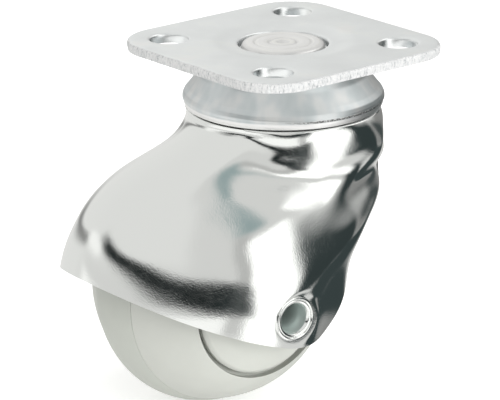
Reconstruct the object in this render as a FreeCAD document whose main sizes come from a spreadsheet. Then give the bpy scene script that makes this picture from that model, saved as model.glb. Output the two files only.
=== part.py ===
import FreeCAD, Part
import math
import os
import Sketcher
from FreeCAD import Vector

# Hooded ball castor with a square top plate.
# Frame: origin at the centre of the plate's top face, on the swivel axis; +Z up; the plate's sides lie along X and Y.
# The hood and wheel trail towards -X, turned by swivel_angle about Z, as the object stands at rest.

doc = FreeCAD.newDocument("castor")

# ---------------------------------------------------------------- driving dimensions
dims = doc.addObject("Spreadsheet::Sheet", "dims")
CELLS = [
    # plate
    ("plate_side", 41.8), ("plate_thick", 1.7), ("plate_corner", 8.3), ("hole_pitch", 27.0), ("hole_rad", 3.2),
    ("edge_roll", 0.7), ("hole_roll", 0.45),
    ("recess_rad", 7.55), ("recess_floor", 1.8), ("recess_thick", 1.4), ("boss_rad", 9.0), ("pin_hole_rad", 4.05),
    ("dish_rad", 11.7), ("dish_depth", 0.28),
    # race ring
    ("ring_hole_rad", 9.05), ("ring_thick", 1.5), ("ring_top_rad", 13.2), ("ring_wide_rad", 16.87), ("ring_wide_level", 9.4),
    ("ring_lip_rad", 15.3), ("ring_lip_level", 10.85),
    # kingpin and its stack
    ("head_rad", 6.75), ("head_top", 0.12), ("shank_rad", 4.0), ("low_head_top", 13.7), ("low_head_rad", 6.2), ("low_head_low", 15.5),
    ("sleeve_rad", 5.2), ("low_race_floor", 12.55), ("low_race_rad", 10.6), ("low_race_wall", 9.5), ("low_race_lip", 10.4),
    # balls
    ("ball_rad", 2.5), ("ball_pitch", 10.7), ("ball_level", 5.76), ("small_ball_rad", 1.5), ("small_ball_pitch", 7.6), ("small_ball_level", 11.0),
    # hood
    ("sheet_thick", 1.1), ("cap_level", 8.3), ("cap_hole_rad", 5.6), ("cap_rad", 13.9), ("neck_rad", 16.5),
    ("dome_x", 15.79), ("dome_lean", 0.189), ("dome_long", 27.95), ("dome_high", 26.13), ("dome_half", 22.87), ("dome_base", 39.85),
    ("dome_plan_pow", 1.708), ("dome_side_pow", 2.908), ("front_pow", 1.987), ("cheek_flat", 22.45),
    ("rim_low", 44.65), ("rim_slope", 0.2996), ("rim_rear", 0.005), ("rim_front", 0.035),
    # axle and wheel
    ("swivel_angle", -5.06), ("trail", 14.7), ("axle_drop", 38.7),
    ("rivet_bore", 2.35), ("rivet_rad", 2.85), ("flange_rad", 3.6), ("flange_out", 23.55), ("flange_in", 22.5),
    ("tube_rad", 3.6), ("tube_half", 21.15), ("hub_bore", 3.66), ("hub_rad", 6.2), ("hub_end_rad", 4.9), ("hub_half", 20.75),
    ("wheel_rad", 21.0), ("band_half", 5.26), ("band_rad", 19.6), ("band_inner", 16.2), ("wheel_half", 15.0), ("groove_rad", 13.0),
    ("cap_disc_rad", 12.15), ("cap_disc_out", 16.9),
]
for row, (alias, value) in enumerate(CELLS, start=1):
    dims.set("A%d" % row, alias)
    dims.set("B%d" % row, str(value))
    dims.setAlias("B%d" % row, alias)
doc.recompute()


def cell(alias):
    return float(dims.get(alias))


parts = []          # (object, node name)


def keep(obj, label):
    obj.Label = label
    parts.append((obj, label))


def origin_item(body, role):
    for item in body.Origin.OriginFeatures:
        if item.Role == role:
            return item
    raise RuntimeError(role)


def bind_point(sk, geo, pos, x, y):
    """Fix one sketch point; a text value is an expression in the sheet's names."""
    for kind, val in (("DistanceX", x), ("DistanceY", y)):
        num = val if not isinstance(val, str) else NUM(val)
        if abs(num) < 1e-9 and not isinstance(val, str):
            sk.addConstraint(Sketcher.Constraint("PointOnObject", geo, pos, -2 if kind == "DistanceX" else -1))
            continue
        i = sk.addConstraint(Sketcher.Constraint(kind, -1, 1, geo, pos, num))
        if isinstance(val, str):
            sk.setExpression("Constraints[%d]" % i, val)


def NUM(text):
    names = dict((a, cell(a)) for a, _ in CELLS)
    out = text
    for a in sorted(names, key=len, reverse=True):
        out = out.replace("dims." + a, repr(names[a]))
    return ARITH(out)


def ARITH(text):
    """Value of a sum or difference of products of plain numbers."""
    total, token = 0.0, ""
    items = []
    for ch in text.replace(" ", ""):
        if ch in "+-" and token and token[-1] not in "*/e":
            items.append(token)
            token = ch
        else:
            token += ch
    items.append(token)
    for item in items:
        val = 1.0
        op = "*"
        for piece in item.replace("*", " * ").replace("/", " / ").split():
            if piece in "*/":
                op = piece
            else:
                val = val * float(piece) if op == "*" else val / float(piece)
        total += val
    return total


def polygon_sketch(body, name, plane, pts):
    """Closed outline of straight runs and three-point arcs. A point is (x, y); an arc's middle is ("arc", x, y)."""
    sk = body.newObject("Sketcher::SketchObject", name)
    sk.AttachmentSupport = [(origin_item(body, plane), "")]
    sk.MapMode = "FlatFace"

    def val(v):
        return NUM(v) if isinstance(v, str) else float(v)
    n = len(pts)
    nodes = [p for p in pts if p[0] != "arc"]
    i = 0
    geos = []
    k = 0
    while k < n:
        p = pts[k]
        q = pts[(k + 1) % n]
        if q[0] == "arc":
            r = pts[(k + 2) % n]
            a, b, c = (Vector(val(p[0]), val(p[1]), 0), Vector(val(q[1]), val(q[2]), 0), Vector(val(r[0]), val(r[1]), 0))
            turn = (b - a).cross(c - b).z
            circle = Part.Circle(a, b, c)
            centre = circle.Center
            first, last = (a, c) if turn > 0 else (c, a)
            t0 = math.atan2(first.y - centre.y, first.x - centre.x)
            t1 = math.atan2(last.y - centre.y, last.x - centre.x)
            if t1 < t0:
                t1 += 2 * math.pi
            g = sk.addGeometry(Part.ArcOfCircle(Part.Circle(centre, Vector(0, 0, 1), circle.Radius), t0, t1), False)
            geos.append((g, 1, 2) if turn > 0 else (g, 2, 1))
            k += 2
        else:
            a, b = Vector(val(p[0]), val(p[1]), 0), Vector(val(q[0]), val(q[1]), 0)
            g = sk.addGeometry(Part.LineSegment(a, b), False)
            geos.append((g, 1, 2))
            k += 1
    m = len(geos)
    for j in range(m):
        g, s, e = geos[j]
        g2, s2, e2 = geos[(j + 1) % m]
        sk.addConstraint(Sketcher.Constraint("Coincident", g, e, g2, s2))
    for j in range(m):
        bind_point(sk, geos[j][0], geos[j][1], nodes[j][0], nodes[j][1])
    return sk


def turned_body(name, pts, plane="XZ_Plane"):
    """A body of revolution about its own Z axis (plane XZ) or Y axis (plane XY)."""
    body = doc.addObject("PartDesign::Body", name)
    sk = polygon_sketch(body, name + "_outline", plane, pts)
    rev = body.newObject("PartDesign::Revolution", name + "_turn")
    rev.Profile = sk
    rev.ReferenceAxis = (sk, ["V_Axis"])
    rev.Angle = 360.0
    body.Tip = rev
    return body


def hang_on_wheel(obj):
    """Places a piece that is modelled about the axle into the turned hood."""
    obj.setExpression("Placement.Rotation.Angle", "dims.swivel_angle * 1deg")
    obj.setExpression("Placement.Rotation.Axis.x", "0")
    obj.setExpression("Placement.Rotation.Axis.y", "0")
    obj.setExpression("Placement.Rotation.Axis.z", "1")
    obj.setExpression("Placement.Base.x", "-dims.trail * cos(dims.swivel_angle * 1deg)")
    obj.setExpression("Placement.Base.y", "-dims.trail * sin(dims.swivel_angle * 1deg)")
    obj.setExpression("Placement.Base.z", "-dims.axle_drop")


# ---------------------------------------------------------------- top plate
plate = doc.addObject("PartDesign::Body", "top_plate")
sk = plate.newObject("Sketcher::SketchObject", "plate_outline")
sk.AttachmentSupport = [(origin_item(plate, "XY_Plane"), "")]
sk.MapMode = "FlatFace"
h = cell("plate_side") / 2
rc = cell("plate_corner")
k = h - rc
lines = [((-k, -h), (k, -h)), ((h, -k), (h, k)), ((k, h), (-k, h)), ((-h, k), (-h, -k))]
mids = [(k, -k, -90, 0), (k, k, 0, 90), (-k, k, 90, 180), (-k, -k, 180, 270)]
lg, ag = [], []
for (a, b), (cx, cy, a0, a1) in zip(lines, mids):
    lg.append(sk.addGeometry(Part.LineSegment(Vector(a[0], a[1], 0), Vector(b[0], b[1], 0)), False))
    ag.append(sk.addGeometry(Part.ArcOfCircle(Part.Circle(Vector(cx, cy, 0), Vector(0, 0, 1), rc),
                                              math.radians(a0), math.radians(a1)), False))
for i in range(4):
    sk.addConstraint(Sketcher.Constraint("Tangent", lg[i], 2, ag[i], 1))
    sk.addConstraint(Sketcher.Constraint("Tangent", ag[i], 2, lg[(i + 1) % 4], 1))
for g, kind in zip(lg, ("Horizontal", "Vertical", "Horizontal", "Vertical")):
    sk.addConstraint(Sketcher.Constraint(kind, g))
for i in range(1, 4):
    sk.addConstraint(Sketcher.Constraint("Equal", ag[0], ag[i]))
c = sk.addConstraint(Sketcher.Constraint("Radius", ag[0], rc))
sk.setExpression("Constraints[%d]" % c, "dims.plate_corner")
for kind, g, val, ex in (("DistanceY", lg[0], -h, "-dims.plate_side / 2"), ("DistanceX", lg[1], h, "dims.plate_side / 2"),
                         ("DistanceY", lg[2], h, "dims.plate_side / 2"), ("DistanceX", lg[3], -h, "-dims.plate_side / 2")):
    c = sk.addConstraint(Sketcher.Constraint(kind, -1, 1, g, 1, val))
    sk.setExpression("Constraints[%d]" % c, ex)
pad = plate.newObject("PartDesign::Pad", "plate_sheet")
pad.Profile = sk
pad.Reversed = True
pad.setExpression("Length", "dims.plate_thick")
plate.Tip = pad
doc.recompute()
v_sheet = plate.Shape.Volume

# the boss drawn down round the rivet head
bk = polygon_sketch(plate, "boss_outline", "XZ_Plane", [
    (0, "-dims.plate_thick + 0.2"), ("dims.boss_rad", "-dims.plate_thick + 0.2"),
    ("dims.boss_rad", "-dims.recess_floor - dims.recess_thick + 0.5"), ("dims.boss_rad - 0.5", "-dims.recess_floor - dims.recess_thick"),
    (0, "-dims.recess_floor - dims.recess_thick")])
boss = plate.newObject("PartDesign::Revolution", "boss_turn")
boss.Profile = bk
boss.ReferenceAxis = (bk, ["V_Axis"])
boss.Angle = 360.0
plate.Tip = boss
doc.recompute()
v_boss = plate.Shape.Volume

# shallow dish, recess for the rivet head and the pin hole in its floor
gk = polygon_sketch(plate, "recess_outline", "XZ_Plane", [
    (0, 1.0), ("dims.dish_rad", 1.0), ("dims.dish_rad", 0), ("dims.dish_rad - 1.6", "-dims.dish_depth + 0.08"),
    ("dims.recess_rad + 0.55", "-dims.dish_depth"), ("arc", "dims.recess_rad + 0.16", "-dims.dish_depth - 0.16"),
    ("dims.recess_rad", "-dims.dish_depth - 0.55"),
    ("dims.recess_rad", "-dims.recess_floor"), ("dims.pin_hole_rad", "-dims.recess_floor"), ("dims.pin_hole_rad", "-dims.recess_floor - 4"),
    (0, "-dims.recess_floor - 4")])
groove = plate.newObject("PartDesign::Groove", "recess_cut")
groove.Profile = gk
groove.ReferenceAxis = (gk, ["V_Axis"])
groove.Angle = 360.0
plate.Tip = groove
doc.recompute()
v_recess = plate.Shape.Volume

# four fixing holes
hk = plate.newObject("Sketcher::SketchObject", "fixing_outline")
hk.AttachmentSupport = [(origin_item(plate, "XY_Plane"), "")]
hk.MapMode = "FlatFace"
for sx in (-1, 1):
    for sy in (-1, 1):
        g = hk.addGeometry(Part.Circle(Vector(sx * cell("hole_pitch") / 2, sy * cell("hole_pitch") / 2, 0), Vector(0, 0, 1), cell("hole_rad")), False)
        for kind, s in (("DistanceX", sx), ("DistanceY", sy)):
            c = hk.addConstraint(Sketcher.Constraint(kind, -1, 1, g, 3, s * cell("hole_pitch") / 2))
            hk.setExpression("Constraints[%d]" % c, ("" if s > 0 else "-") + "dims.hole_pitch / 2")
        c = hk.addConstraint(Sketcher.Constraint("Radius", g, cell("hole_rad")))
        hk.setExpression("Constraints[%d]" % c, "dims.hole_rad")
pocket = plate.newObject("PartDesign::Pocket", "fixing_holes")
pocket.Profile = hk
pocket.Midplane = True
pocket.Length = 12.0
plate.Tip = pocket
doc.recompute()
v_holes = plate.Shape.Volume
print("plate volumes", round(v_sheet, 1), round(v_boss, 1), round(v_recess, 1), round(v_holes, 1))
if not (v_boss > v_sheet > v_recess > v_holes):
    raise RuntimeError("a plate feature did not take")


def edges_at(shape, level, test):
    out = []
    for i, e in enumerate(shape.Edges, start=1):
        b = e.BoundBox
        if abs(b.ZMin - level) < 1e-4 and abs(b.ZMax - level) < 1e-4 and test(b):
            out.append("Edge%d" % i)
    return out


# rolled-over edges: the outline and the rims of the fixing holes, top side
outer = edges_at(plate.Shape, 0.0, lambda b: max(abs(b.XMin), abs(b.XMax), abs(b.YMin), abs(b.YMax)) > h - 0.01 or
                 (abs(b.XMin) > k - 0.01 and abs(b.YMin) > k - 0.01 and abs(b.XLength - rc) < 0.5))
fil = plate.newObject("PartDesign::Fillet", "edge_rollover")
fil.Base = (pocket, outer)
fil.setExpression("Radius", "dims.edge_roll")
plate.Tip = fil
doc.recompute()
rims = edges_at(plate.Shape, 0.0, lambda b: abs(b.XLength - 2 * cell("hole_rad")) < 0.02 and abs(b.YLength - 2 * cell("hole_rad")) < 0.02)
fil2 = plate.newObject("PartDesign::Fillet", "hole_rollover")
fil2.Base = (fil, rims)
fil2.setExpression("Radius", "dims.hole_roll")
plate.Tip = fil2
doc.recompute()
print("rolled edges", len(outer), len(rims), round(plate.Shape.Volume, 1))
keep(plate, "top_plate")

# ---------------------------------------------------------------- race ring under the plate
ring = turned_body("race_ring", [
    ("dims.ring_hole_rad", "-dims.plate_thick"), ("dims.ring_top_rad", "-dims.plate_thick"),
    ("arc", "dims.ring_top_rad + 0.66", "-dims.plate_thick - 0.26"), ("dims.ring_top_rad + 0.9", "-dims.plate_thick - 0.9"),
    ("dims.ring_top_rad + 1.1", -5.0), ("arc", 14.72, -5.95), (15.45, -6.85),
    (16.25, -7.72), ("arc", 16.72, -8.55), ("dims.ring_wide_rad", "-dims.ring_wide_level"),
    ("arc", 16.8, -9.9), (16.58, -10.35), ("arc", 16.42, -10.7), ("dims.ring_lip_rad + 0.8", "-dims.ring_lip_level"),
    ("dims.ring_lip_rad + 0.3", "-dims.ring_lip_level"), ("arc", "dims.ring_lip_rad + 0.03", "-dims.ring_lip_level + 0.35"),
    ("dims.ring_lip_rad + 0.12", "-dims.ring_lip_level + 0.8"), ("dims.ring_wide_rad - 1.15", "-dims.ring_wide_level"), ("arc", 15.55, -8.85), (15.2, -8.25),
    (14.55, -7.5), ("arc", 13.75, -6.4), (13.3, -5.2),
    ("dims.ring_top_rad - 0.1", "-dims.plate_thick - dims.ring_thick"),
    ("dims.ring_hole_rad", "-dims.plate_thick - dims.ring_thick")])
keep(ring, "race_ring")

# ---------------------------------------------------------------- kingpin with both heads, the upper one flat and slightly rounded
pin = turned_body("kingpin", [
    (0, "-dims.head_top"), ("dims.head_rad - 0.5", "-dims.head_top"), ("arc", "dims.head_rad - 0.14", "-dims.head_top - 0.15"),
    ("dims.head_rad", "-dims.head_top - 0.5"), ("dims.head_rad", "-dims.recess_floor"), ("dims.shank_rad", "-dims.recess_floor"),
    ("dims.shank_rad", "-dims.low_head_top"), ("dims.low_head_rad", "-dims.low_head_top"),
    ("dims.low_head_rad", "-dims.low_head_top - 0.5"), ("arc", "dims.low_head_rad - 0.9", "-dims.low_head_low + 0.35"),
    ("dims.low_head_rad - 2.6", "-dims.low_head_low"), (0, "-dims.low_head_low")])
keep(pin, "kingpin")

# ---------------------------------------------------------------- distance sleeve round the kingpin
sleeve = turned_body("kingpin_sleeve", [
    ("dims.pin_hole_rad", "-dims.recess_floor - dims.recess_thick"), ("dims.sleeve_rad", "-dims.recess_floor - dims.recess_thick"),
    ("dims.sleeve_rad", "-dims.low_race_floor"), ("dims.pin_hole_rad", "-dims.low_race_floor")])
keep(sleeve, "kingpin_sleeve")

# ---------------------------------------------------------------- lower race: pressed cup clamped by the lower head
low = turned_body("lower_race", [
    ("dims.pin_hole_rad", "-dims.low_race_floor"), ("dims.low_race_wall - 0.9", "-dims.low_race_floor"),
    ("arc", "dims.low_race_wall - 0.26", "-dims.low_race_floor + 0.26"), ("dims.low_race_wall", "-dims.low_race_floor + 0.9"),
    ("dims.low_race_wall", "-dims.low_race_lip"), ("dims.low_race_rad", "-dims.low_race_lip"),
    ("dims.low_race_rad", "-dims.low_race_floor + 0.6"), ("arc", "dims.low_race_rad - 0.5", "-dims.low_head_top + 0.5"),
    ("dims.low_race_rad - 1.75", "-dims.low_head_top"), ("dims.pin_hole_rad", "-dims.low_head_top")])
keep(low, "lower_race")


# ---------------------------------------------------------------- ball rings, each a group of separate balls
def ball_ring(name, rad, pitch, level, count, phase):
    balls = []
    for i in range(count):
        s = doc.addObject("Part::Sphere", "%s_%02d" % (name, i + 1))
        s.setExpression("Radius", "dims." + rad)
        a = 360.0 * i / count + phase
        s.setExpression("Placement.Base.x", "dims.%s * cos(%.6f deg)" % (pitch, a))
        s.setExpression("Placement.Base.y", "dims.%s * sin(%.6f deg)" % (pitch, a))
        s.setExpression("Placement.Base.z", "-dims." + level)
        balls.append(s)
    group = doc.addObject("Part::Compound", name)
    group.Links = balls
    keep(group, name)


ball_ring("upper_balls", "ball_rad", "ball_pitch", "ball_level", 13, 0.0)
ball_ring("lower_balls", "small_ball_rad", "small_ball_pitch", "small_ball_level", 15, 6.0)


# ---------------------------------------------------------------- hood
# One deep-drawn shell. A cap holds the race, a round neck runs down from it, and a dome widens to the rear over the wheel.
# Each level of the drawing is the larger of the neck's circle and the dome's egg-shaped outline, blended at the fold
# between them. The lower edge rises to the rear and, more steeply, to the front.
def table(tab, x):
    """Smooth curve through (level, value) pairs with falling levels, without overshoot."""
    if x >= tab[0][0]:
        return tab[0][1]
    if x <= tab[-1][0]:
        return tab[-1][1]
    d = [(tab[i + 1][1] - tab[i][1]) / (tab[i + 1][0] - tab[i][0]) for i in range(len(tab) - 1)]
    m = [d[0]] + [0.0 if d[i - 1] * d[i] <= 0 else 2 * d[i - 1] * d[i] / (d[i - 1] + d[i]) for i in range(1, len(d))] + [d[-1]]
    for i in range(len(tab) - 1):
        if tab[i][0] >= x >= tab[i + 1][0]:
            w = tab[i + 1][0] - tab[i][0]
            u = (x - tab[i][0]) / w
            return ((2 * u ** 3 - 3 * u * u + 1) * tab[i][1] + (u ** 3 - 2 * u * u + u) * w * m[i] +
                    (-2 * u ** 3 + 3 * u * u) * tab[i + 1][1] + (u ** 3 - u * u) * w * m[i + 1])


FRONT = [(-12, 3.8), (-16, 9.1), (-20, 13.7), (-22.5, 16.25), (-26, 16.0), (-30.5, 12.3), (-34.4, 9.3), (-37, 8.2), (-40, 7.8),
         (-44, 6.6), (-50, 5.0)]
NECK = [(-12, cell("neck_rad")), (-20.2, cell("neck_rad") - 0.2), (-21.3, 14.1), (-24, 15.8), (-27, 14.5), (-32, 11.0), (-50, 8.0)]
# the same neck without its step, for the hollow side
NECK_IN = [(-12, cell("neck_rad")), (-18.5, cell("neck_rad") - 0.2), (-21.4, 14.85), (-24, 14.75), (-27, 14.1), (-32, 10.8), (-50, 8)]
CENTRE = [(-12, 0.0), (-18, -3.0), (-26, -9.0), (-36, -13.0), (-50, -14.7)]
BLEND = [(-12, 4.0), (-16, 4.0), (-22, 1.8), (-26, 1.2), (-50, 1.0)]
XC, LEAN, LONG, HIGH, HALF, BASE = (cell("dome_x"), cell("dome_lean"), cell("dome_long"), cell("dome_high"), cell("dome_half"),
                                    cell("dome_base"))
PLAN, SIDE, FPOW, FLAT = cell("dome_plan_pow"), cell("dome_side_pow"), cell("front_pow"), cell("cheek_flat")


def hood_point(z, phi, neck):
    q = table(CENTRE, z)
    c, s = math.cos(phi), math.sin(phi)
    up = max(0.0, z + BASE)
    xb = -XC + LEAN * up
    size = max(1 - (up / HIGH) ** SIDE, 0.02) ** (1 / PLAN)
    rear, half, front = LONG * size, HALF * size, table(FRONT, z) - xb

    def level(x, y):
        a, p = (rear, PLAN) if x < xb else (front, FPOW)
        return abs((x - xb) / a) ** p + abs(y / half) ** p - 1
    rd = 0.0
    if front > 0.5 and level(q, 0.0) < 0:
        lo, hi = 0.0, 80.0
        for _ in range(48):
            mid = (lo + hi) / 2
            if level(q + mid * c, mid * s) < 0:
                lo = mid
            else:
                hi = mid
        rd = lo
    rn = table(neck, z)
    disc = rn * rn - (q * s) ** 2
    rc_ = (-q * c + math.sqrt(disc)) if disc > 0 and abs(q) < rn else 0.0
    kb = table(BLEND, z)
    hh = max(kb - abs(rd - rc_), 0.0) / kb
    r = max(rd, rc_) + hh * hh * kb * 0.25
    x, y = q + r * c, r * s
    # flat seats for the axle's flanges on both cheeks
    e = abs(y) - FLAT
    soft = 0.35
    cut = e if e > soft else (0.0 if e < -soft else (e + soft) ** 2 / (4 * soft))
    y = math.copysign(abs(y) - cut, y) if abs(y) > 1e-9 else y
    return Vector(x, y, z)


def rim_level(x):
    u = x + cell("trail")
    return -cell("rim_low") - cell("rim_slope") * u + (cell("rim_rear") if u < 0 else cell("rim_front")) * u * u


CAP = [(cell("cap_hole_rad"), -8.3), (7.4, -8.3), (9.2, -8.3), (10.7, -8.3), (11.7, -8.32), (12.6, -8.5), (13.3, -8.85), (13.7, -9.35),
       (cell("cap_rad") - 0.05, -9.85), (cell("cap_rad"), -10.35), (cell("cap_rad") + 0.2, -10.8), (14.7, -11.05), (15.35, -11.14),
       (15.95, -11.25), (16.3, -11.6), (16.42, -12.2)]
NPHI, NROW = 48, 34
COLS = [math.pi * j / NPHI for j in range(NPHI + 1)]
TIERS = [-12.95, -13.9, -15.0, -16.2, -17.4, -18.4, -19.2, -19.8, -20.25, -20.65, -21.0, -21.3]


def column(phi, neck):
    zb = -42.0
    for _ in range(40):
        p = hood_point(zb, phi, neck)
        zb = 0.5 * zb + 0.5 * rim_level(p.x)
    pts = [Vector(r * math.cos(phi), r * math.sin(phi), z) for r, z in CAP]
    for z in TIERS[:-1]:
        pts.append(hood_point(z, phi, neck))
    for i in range(NROW + 1):
        u = i / NROW
        pts.append(hood_point(TIERS[-1] + (zb - TIERS[-1]) * u * (0.5 + 0.5 * u), phi, neck))
    return pts


outer_grid = [column(phi, NECK) for phi in COLS]


def mirrored(p):
    return Vector(p.x, -p.y, p.z)


def inner_of(grid, t):
    n = len(grid)
    res = []
    for j in range(n):
        row = []
        m = len(grid[j])
        for i in range(m):
            up = grid[j][max(i - 1, 0)]
            dn = grid[j][min(i + 1, m - 1)]
            left = grid[j + 1][i] if j + 1 < n else mirrored(grid[j - 1][i])
            right = grid[j - 1][i] if j > 0 else mirrored(grid[j + 1][i])
            normal = (left - right).cross(dn - up)
            normal.normalize()
            p = grid[j][i]
            # the drawn wall points outwards from the hollow
            if normal.dot(Vector(p.x + 8.0, p.y, max(p.z, -30.0) + 30.0)) < 0:
                normal = normal * -1
            if i < len(CAP):
                # the cap's normals lie in the radial plane
                c, s = math.cos(COLS[j]), math.sin(COLS[j])
                rad = normal.x * c + normal.y * s
                normal = Vector(rad * c, rad * s, normal.z)
                normal.normalize()
            q = p - normal * t
            if j in (0, n - 1):
                q.y = 0.0
            row.append(q)
        res.append(row)
    return res


inner_grid = inner_of([column(phi, NECK_IN) for phi in COLS], cell("sheet_thick"))
wall = min((min(p.distanceToPoint(q) for k in (j - 1, j, j + 1) if 0 <= k <= NPHI for q in inner_grid[k]), j, p.x, p.y, p.z)
           for j in range(NPHI + 1) for p in outer_grid[j])
print("thinnest wall of the hood and where", [round(v, 2) for v in wall])


def clamped(row, before, after):
    """End poles of a smooth cubic run, given the point that would come before the first and after the last."""
    first, second, last, but_one = row[0], row[1], row[-1], row[-2]
    return ([(before + first * 4 + second) * (1 / 6.0), (first * 2 + second) * (1 / 3.0)] + row[1:-1] +
            [(last * 2 + but_one) * (1 / 3.0), (after + last * 4 + but_one) * (1 / 6.0)])


def skin(grid):
    """Cubic surface whose poles are the grid, square to the plane of symmetry at its first and last columns."""
    cols = [clamped(c, c[0] * 2 - c[1], c[-1] * 2 - c[-2]) for c in grid]
    rows = [clamped([c[i] for c in cols], mirrored(cols[1][i]), mirrored(cols[-2][i])) for i in range(len(cols[0]))]
    poles = [list(line) for line in zip(*rows)]
    nu, nv = len(poles), len(poles[0])
    surf = Part.BSplineSurface()
    surf.buildFromPolesMultsKnots(poles, [4] + [1] * (nu - 4) + [4], [4] + [1] * (nv - 4) + [4],
                                  list(range(nu - 2)), list(range(nv - 2)), False, False, 3, 3)
    return surf.toShape()


def side_edge(face, pts):
    """The face's edge that runs through a given row of points."""
    mid = pts[len(pts) // 2]
    best = min(face.Edges, key=lambda e: e.distToShape(Part.Vertex(mid))[0] + e.distToShape(Part.Vertex(pts[0]))[0] +
               e.distToShape(Part.Vertex(pts[-1]))[0])
    return best


out_face = skin(outer_grid)
in_face = skin(inner_grid)
rim_face = Part.makeRuledSurface(side_edge(out_face, [g[-1] for g in outer_grid]), side_edge(in_face, [g[-1] for g in inner_grid]))
top_face = Part.makeRuledSurface(side_edge(out_face, [g[0] for g in outer_grid]), side_edge(in_face, [g[0] for g in inner_grid]))
half_faces = [out_face, in_face, rim_face, top_face]
other = [f.mirror(Vector(0, 0, 0), Vector(0, 1, 0)) for f in half_faces]
shell = Part.makeShell([f for s in half_faces + other for f in s.Faces])
shell.sewShape(1e-4)
hood_solid = Part.Solid(Part.Shell(shell.Faces))
if hood_solid.Volume < 0:
    hood_solid.reverse()
hood_solid.fix(1e-4, 1e-4, 1e-4)
print("hood shell", hood_solid.isValid(), hood_solid.ShapeType, round(hood_solid.Volume, 1), [round(v, 2) for v in (
    hood_solid.BoundBox.XMin, hood_solid.BoundBox.XMax, hood_solid.BoundBox.YMin, hood_solid.BoundBox.YMax,
    hood_solid.BoundBox.ZMin, hood_solid.BoundBox.ZMax)])
form = doc.addObject("Part::Feature", "hood_form")
form.Shape = hood_solid
drill = doc.addObject("Part::Cylinder", "axle_drill")
drill.setExpression("Radius", "dims.rivet_rad + 0.05")
drill.setExpression("Height", "dims.dome_half * 2 + 10")
drill.setExpression("Placement.Rotation.Angle", "90deg")
drill.setExpression("Placement.Rotation.Axis.x", "-1")
drill.setExpression("Placement.Rotation.Axis.y", "0")
drill.setExpression("Placement.Rotation.Axis.z", "0")
drill.setExpression("Placement.Base.x", "-dims.trail")
drill.setExpression("Placement.Base.y", "-dims.dome_half - 5")
drill.setExpression("Placement.Base.z", "-dims.axle_drop")
hood = doc.addObject("Part::Cut", "hood")
hood.Base = form
hood.Tool = drill
hood.setExpression("Placement.Rotation.Angle", "dims.swivel_angle * 1deg")
hood.setExpression("Placement.Rotation.Axis.x", "0")
hood.setExpression("Placement.Rotation.Axis.y", "0")
hood.setExpression("Placement.Rotation.Axis.z", "1")
keep(hood, "hood")

# ---------------------------------------------------------------- axle: hollow rivet with curled flanges, and its distance tube
rivet = turned_body("axle_rivet", [
    ("dims.rivet_bore", "-dims.flange_out + 0.75"), ("arc", "dims.rivet_bore + 0.16", "-dims.flange_out + 0.3"),
    ("dims.rivet_rad - 0.02", "-dims.flange_out"), ("arc", "dims.flange_rad - 0.12", "-dims.flange_out + 0.35"),
    ("dims.flange_rad", "-dims.flange_in"), ("dims.rivet_rad", "-dims.flange_in"),
    ("dims.rivet_rad", "dims.flange_in"), ("dims.flange_rad", "dims.flange_in"),
    ("arc", "dims.flange_rad - 0.12", "dims.flange_out - 0.35"), ("dims.rivet_rad - 0.02", "dims.flange_out"),
    ("arc", "dims.rivet_bore + 0.16", "dims.flange_out - 0.3"), ("dims.rivet_bore", "dims.flange_out - 0.75")], "XY_Plane")
hang_on_wheel(rivet)
keep(rivet, "axle_rivet")

tube = turned_body("axle_sleeve", [
    ("dims.rivet_rad + 0.05", "-dims.tube_half"), ("dims.tube_rad", "-dims.tube_half"),
    ("dims.tube_rad", "dims.tube_half"), ("dims.rivet_rad + 0.05", "dims.tube_half")], "XY_Plane")
hang_on_wheel(tube)
keep(tube, "axle_sleeve")

# ---------------------------------------------------------------- wheel: moulded body, running band, flank discs
# barrel outline, radius against the distance from the mid-plane
core = turned_body("wheel_core", [
    ("dims.hub_bore", "-dims.hub_half"), ("dims.hub_end_rad - 0.3", "-dims.hub_half"), ("dims.hub_end_rad", "-dims.hub_half + 0.3"),
    ("dims.hub_end_rad + 0.3", "-dims.cap_disc_out - 0.5"), ("dims.hub_rad", "-dims.cap_disc_out - 0.1"),
    ("dims.hub_rad", -2.2), (11.2, -2.2), (11.2, "-dims.wheel_half + 1.9"), (11.8, "-dims.wheel_half + 1.9"),
    ("dims.groove_rad - 0.04", "-dims.wheel_half + 1.3"), ("dims.groove_rad", "-dims.wheel_half"),
    ("arc", 17.05, -10.55), ("dims.band_rad - 0.04", "-dims.band_half"),
    ("dims.band_inner", "-dims.band_half"), ("dims.band_inner", "dims.band_half"),
    ("dims.band_rad - 0.04", "dims.band_half"), ("arc", 17.05, 10.55), ("dims.groove_rad", "dims.wheel_half"),
    ("dims.groove_rad - 0.04", "dims.wheel_half - 1.3"), (11.8, "dims.wheel_half - 1.9"), (11.2, "dims.wheel_half - 1.9"), (11.2, 2.2),
    ("dims.hub_rad", 2.2), ("dims.hub_rad", "dims.cap_disc_out + 0.1"), ("dims.hub_end_rad + 0.3", "dims.cap_disc_out + 0.5"),
    ("dims.hub_end_rad", "dims.hub_half - 0.3"), ("dims.hub_end_rad - 0.3", "dims.hub_half"),
    ("dims.hub_bore", "dims.hub_half")], "XY_Plane")
hang_on_wheel(core)
keep(core, "wheel_core")

tyre = turned_body("tyre", [
    ("dims.band_inner + 0.02", "-dims.band_half + 0.02"), ("dims.band_rad", "-dims.band_half + 0.02"),
    ("arc", "dims.wheel_rad", 0), ("dims.band_rad", "dims.band_half - 0.02"), ("dims.band_inner + 0.02", "dims.band_half - 0.02")],
    "XY_Plane")
hang_on_wheel(tyre)
keep(tyre, "tyre")


def flank(side, alias, add=0.0):
    """A distance along the axle on the flank towards -Y (side -1) or +Y (side 1)."""
    return "%sdims.%s %s %.2f" % ("" if side > 0 else "-", alias, "+" if side * add >= 0 else "-", abs(add))


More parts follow.
